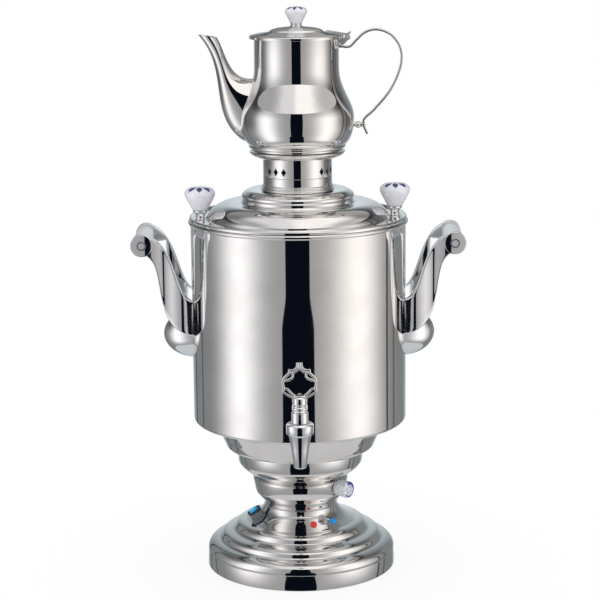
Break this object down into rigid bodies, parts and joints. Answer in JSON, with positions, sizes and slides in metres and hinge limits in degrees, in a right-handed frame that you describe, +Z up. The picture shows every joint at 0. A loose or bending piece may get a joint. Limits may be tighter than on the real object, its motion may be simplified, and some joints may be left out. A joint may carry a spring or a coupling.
{
  "type": "electric samovar with teapot",
  "caption": "Polished steel electric samovar with a cylindrical tank, front tap with an ornate key, side handles, domed lid with porcelain knobs, and a spouted teapot on the crown.",
  "frame": {"origin": "on the tank's axis, in the plane of the feet's undersides", "axes": "+Z up along the tank axis, the front with the tap towards -Y, the teapot spout towards -X and its handle towards +X"},
  "size_m": [0.4104, 0.3364, 0.7052],
  "materials": {
    "polished_steel": "mirror polished stainless steel",
    "tank_steel": "mirror polished stainless steel",
    "cast_metal": "polished plated castings",
    "plated_steel": "zinc plated, dull",
    "element_steel": "stainless tube, dull",
    "brass_parts": "turned brass",
    "black_rubber": "matt",
    "black_plastic": "matt",
    "grey_plastic": "satin",
    "white_plastic": "pale, satin gloss",
    "clear_plastic": "whitish with a navy arc on the face",
    "porcelain_white": "glazed porcelain with painted navy petals",
    "blue_lens": "bright blue lens",
    "red_lens": "bright red lens"
  },
  "bodies": {
    "tank": {"base_band": "polished_steel", "base_bell": "polished_steel", "bottom_cover": "plated_steel", "cover_screws": "plated_steel", "rubber_feet": "black_rubber", "tie_rod": "plated_steel", "tie_nuts": "plated_steel", "thermostat_ring": "polished_steel", "lower_bowl": "polished_steel", "upper_bowl": "polished_steel", "tank_shell": "tank_steel", "arms_left": "cast_metal", "arms_right": "cast_metal", "boss_left": "polished_steel", "boss_right": "polished_steel", "grip_left": "white_plastic", "grip_right": "white_plastic", "grip_screws": "plated_steel", "handle_bolts": "plated_steel", "handle_seals": "black_rubber", "tap_body": "cast_metal", "tap_sleeve": "cast_metal", "tap_bonnet": "cast_metal", "tap_wall_nut": "plated_steel", "tap_gaskets": "black_rubber", "heating_element": "element_steel", "element_nuts": "brass_parts", "element_gaskets": "black_rubber", "cutout_disc": "black_plastic", "thermostat_body": "black_plastic", "terminal_block": "white_plastic", "cable_gland": "black_plastic", "switch_housing": "grey_plastic", "red_lamp": "red_lens", "blue_lamp": "blue_lens"},
    "tap_key": {"tap_key": "cast_metal", "tap_plug": "brass_parts"},
    "switch_rocker": {"switch_rocker": "blue_lens"},
    "thermostat_knob": {"thermostat_knob": "clear_plastic", "thermostat_shaft": "brass_parts"},
    "lid": {"lid_shell": "polished_steel", "neck_ring": "polished_steel", "lid_knob_stems": "polished_steel", "lid_knobs": "porcelain_white", "lid_studs": "plated_steel"},
    "crown": {"crown_collar": "polished_steel", "crown_pan": "polished_steel"},
    "teapot": {"teapot_body": "polished_steel", "teapot_spout": "polished_steel", "teapot_handle": "polished_steel", "handle_rivet": "polished_steel", "hinge_bracket": "polished_steel", "hinge_pin": "plated_steel"},
    "teapot_lid": {"teapot_lid": "polished_steel", "lid_strap": "polished_steel", "knob_ferrule": "polished_steel", "teapot_knob": "porcelain_white", "teapot_knob_screw": "plated_steel"}
  },
  "joints": [
    {"name": "tap_turn", "type": "hinge", "parent": "tank", "child": "tap_key", "pos_m": [0, -0.184, 0.2542], "axis": [0, 0, 1], "range_deg": [0, 90]},
    {"name": "switch_rock", "type": "hinge", "parent": "tank", "child": "switch_rocker", "pos_m": [-0.05842, -0.01898, 0.07162], "axis": [0.309, -0.9511, 0], "range_deg": [-12, 0]},
    {"name": "thermostat_turn", "type": "hinge", "parent": "tank", "child": "thermostat_knob", "pos_m": [0.04596, -0.03857, 0.10897], "axis": [0.766, -0.6428, 0], "range_deg": [0, 270]},
    {"name": "lid_lift", "type": "slide", "parent": "tank", "child": "lid", "axis": [0, 0, 1], "range_m": [0, 0.12]},
    {"name": "crown_lift", "type": "slide", "parent": "lid", "child": "crown", "axis": [0, 0, 1], "range_m": [0, 0.1]},
    {"name": "teapot_lift", "type": "slide", "parent": "crown", "child": "teapot", "axis": [0, 0, 1], "range_m": [0, 0.15]},
    {"name": "teapot_lid_turn", "type": "hinge", "parent": "teapot", "child": "teapot_lid", "pos_m": [0.0625, 0, 0.6677], "axis": [0, 1, 0], "range_deg": [0, 90]}
  ]
}
